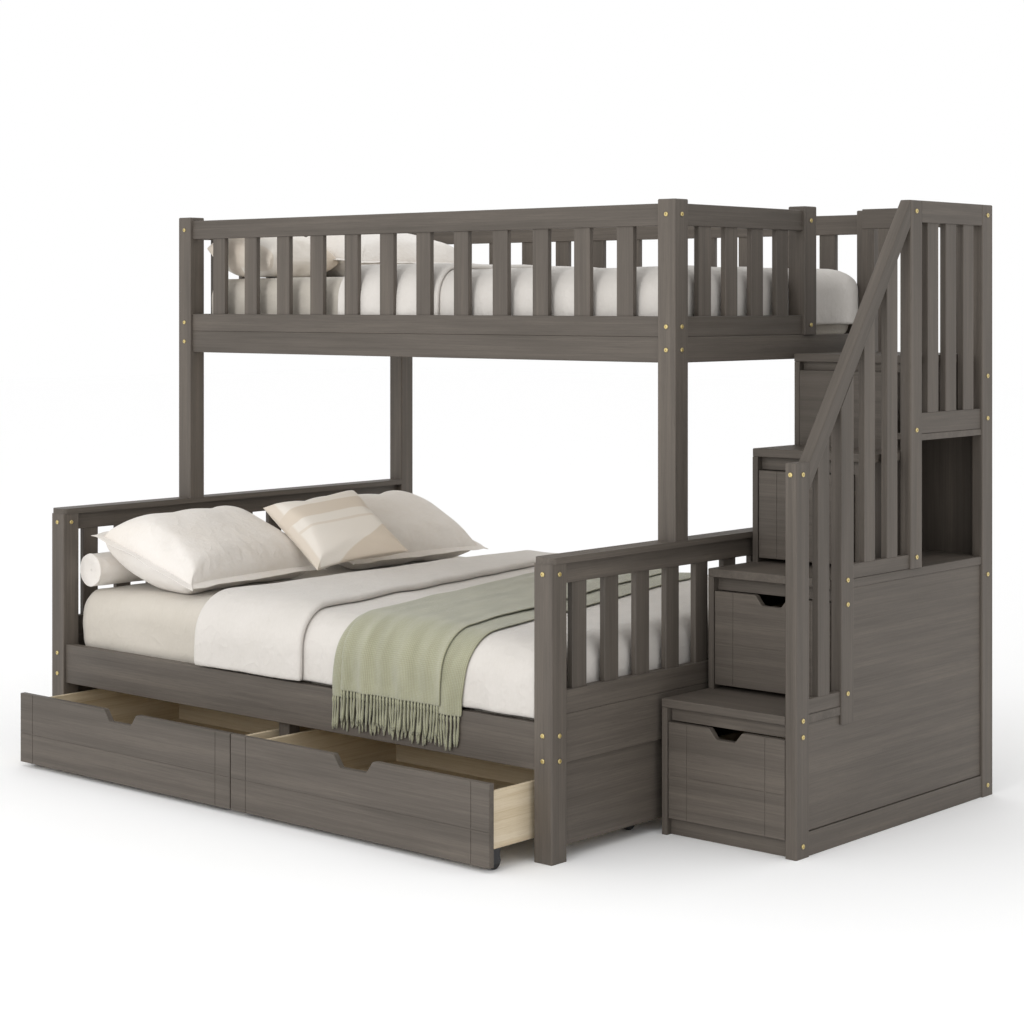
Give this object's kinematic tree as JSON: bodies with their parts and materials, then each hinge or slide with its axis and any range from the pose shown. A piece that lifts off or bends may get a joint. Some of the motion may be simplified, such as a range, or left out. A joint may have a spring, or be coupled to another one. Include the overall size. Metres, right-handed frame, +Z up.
{
  "type": "bunk bed",
  "caption": "Bunk bed with a single bed over a wide bed, a storage staircase with drawers and a handrail, rolling drawers under the bed, and made-up bedding.",
  "frame": {"origin": "on the floor, at the middle of the bounding box with the wide drawers partly open", "axes": "+X from the head end towards the staircase, -Y towards the front and the wide drawers, +Z up"},
  "size_m": [2.574, 1.79, 1.752],
  "materials": {
    "stained_wood": "satin grey-brown stain over fine straight grain",
    "plain_wood": "unstained pine, sanded",
    "brass_bolt": "satin brass",
    "caster_metal": "black paint",
    "caster_wheel": "smooth black rubber",
    "mattress_sheet": "smooth beige-grey sheet",
    "duvet_cloth": "soft cream cotton",
    "throw_cloth": "knitted sage green with a fringe",
    "pillow_cloth": "soft cream cotton",
    "cushion_cloth": "woven cream and beige"
  },
  "bodies": {
    "bed_frame": {"bay_end_panels": "stained_wood", "bolster": "pillow_cloth", "bolt_heads": "brass_bolt", "cubby_boards": "stained_wood", "end_caps": "stained_wood", "end_guard_slats": "stained_wood", "end_rails": "stained_wood", "end_slats_lower": "stained_wood", "entry_post": "stained_wood", "foot_back_post": "stained_wood", "foot_front_post": "stained_wood", "front_newel": "stained_wood", "guard_rails": "stained_wood", "head_back_post": "stained_wood", "head_front_post": "stained_wood", "lower_bed_slats": "plain_wood", "lower_duvet": "duvet_cloth", "lower_mattress": "mattress_sheet", "lower_side_rails": "stained_wood", "middle_support": "stained_wood", "pillows": "pillow_cloth", "side_guard_slats": "stained_wood", "slat_cleats": "plain_wood", "square_cushions": "cushion_cloth", "stair_back_panel": "stained_wood", "stair_back_post": "stained_wood", "stair_fixed_front": "stained_wood", "stair_front_rails": "stained_wood", "stair_guard_rails": "stained_wood", "stair_guard_slats": "stained_wood", "stair_handrail": "stained_wood", "stair_inner_panels": "stained_wood", "stair_left_panel": "stained_wood", "stair_right_panel": "stained_wood", "stair_treads": "stained_wood", "step_drawer_runners": "plain_wood", "throw_blanket": "throw_cloth", "top_newel": "stained_wood", "upper_bed_rails": "stained_wood", "upper_bed_slats": "plain_wood", "upper_duvet": "duvet_cloth", "upper_foot_post": "stained_wood", "upper_head_post": "stained_wood", "upper_mattress": "mattress_sheet"},
    "left_drawer": {"left_bay_drawer_front": "stained_wood", "left_bay_drawer_box": "plain_wood", "left_bay_casters": "caster_metal"},
    "left_front_wheels": {"left_bay_front_wheels": "caster_wheel"},
    "left_rear_wheels": {"left_bay_rear_wheels": "caster_wheel"},
    "right_drawer": {"right_bay_drawer_front": "stained_wood", "right_bay_drawer_box": "plain_wood", "right_bay_casters": "caster_metal"},
    "right_front_wheels": {"right_bay_front_wheels": "caster_wheel"},
    "right_rear_wheels": {"right_bay_rear_wheels": "caster_wheel"},
    "low_step_drawer": {"low_step_drawer_front": "stained_wood", "low_step_drawer_box": "plain_wood"},
    "middle_step_drawer": {"middle_step_drawer_front": "stained_wood", "middle_step_drawer_box": "plain_wood"},
    "top_step_drawer": {"top_step_drawer_front": "stained_wood", "top_step_drawer_box": "plain_wood"}
  },
  "joints": [
    {"name": "left_drawer_roll", "type": "slide", "parent": "bed_frame", "child": "left_drawer", "axis": [0, -1, 0], "range_m": [-0.176, 0.36]},
    {"name": "left_front_wheel_turn", "type": "hinge", "parent": "left_drawer", "child": "left_front_wheels", "pos_m": [-0.723, -0.849, 0.022], "axis": [1, 0, 0], "continuous": true},
    {"name": "left_rear_wheel_turn", "type": "hinge", "parent": "left_drawer", "child": "left_rear_wheels", "pos_m": [-0.723, -0.285, 0.022], "axis": [1, 0, 0], "continuous": true},
    {"name": "right_drawer_roll", "type": "slide", "parent": "bed_frame", "child": "right_drawer", "axis": [0, -1, 0], "range_m": [-0.176, 0.36]},
    {"name": "right_front_wheel_turn", "type": "hinge", "parent": "right_drawer", "child": "right_front_wheels", "pos_m": [0.273, -0.849, 0.022], "axis": [1, 0, 0], "continuous": true},
    {"name": "right_rear_wheel_turn", "type": "hinge", "parent": "right_drawer", "child": "right_rear_wheels", "pos_m": [0.273, -0.285, 0.022], "axis": [1, 0, 0], "continuous": true},
    {"name": "low_step_drawer_slide", "type": "slide", "parent": "bed_frame", "child": "low_step_drawer", "axis": [0, -1, 0], "range_m": [0, 0.3]},
    {"name": "middle_step_drawer_slide", "type": "slide", "parent": "bed_frame", "child": "middle_step_drawer", "axis": [0, -1, 0], "range_m": [0, 0.3]},
    {"name": "top_step_drawer_slide", "type": "slide", "parent": "bed_frame", "child": "top_step_drawer", "axis": [0, -1, 0], "range_m": [0, 0.1]}
  ],
  "couplings": [
    {"joint": "left_front_wheel_turn", "follows": "left_drawer_roll", "rad_per_m": 45.455},
    {"joint": "left_rear_wheel_turn", "follows": "left_drawer_roll", "rad_per_m": 45.455},
    {"joint": "right_front_wheel_turn", "follows": "right_drawer_roll", "rad_per_m": 45.455},
    {"joint": "right_rear_wheel_turn", "follows": "right_drawer_roll", "rad_per_m": 45.455}
  ]
}
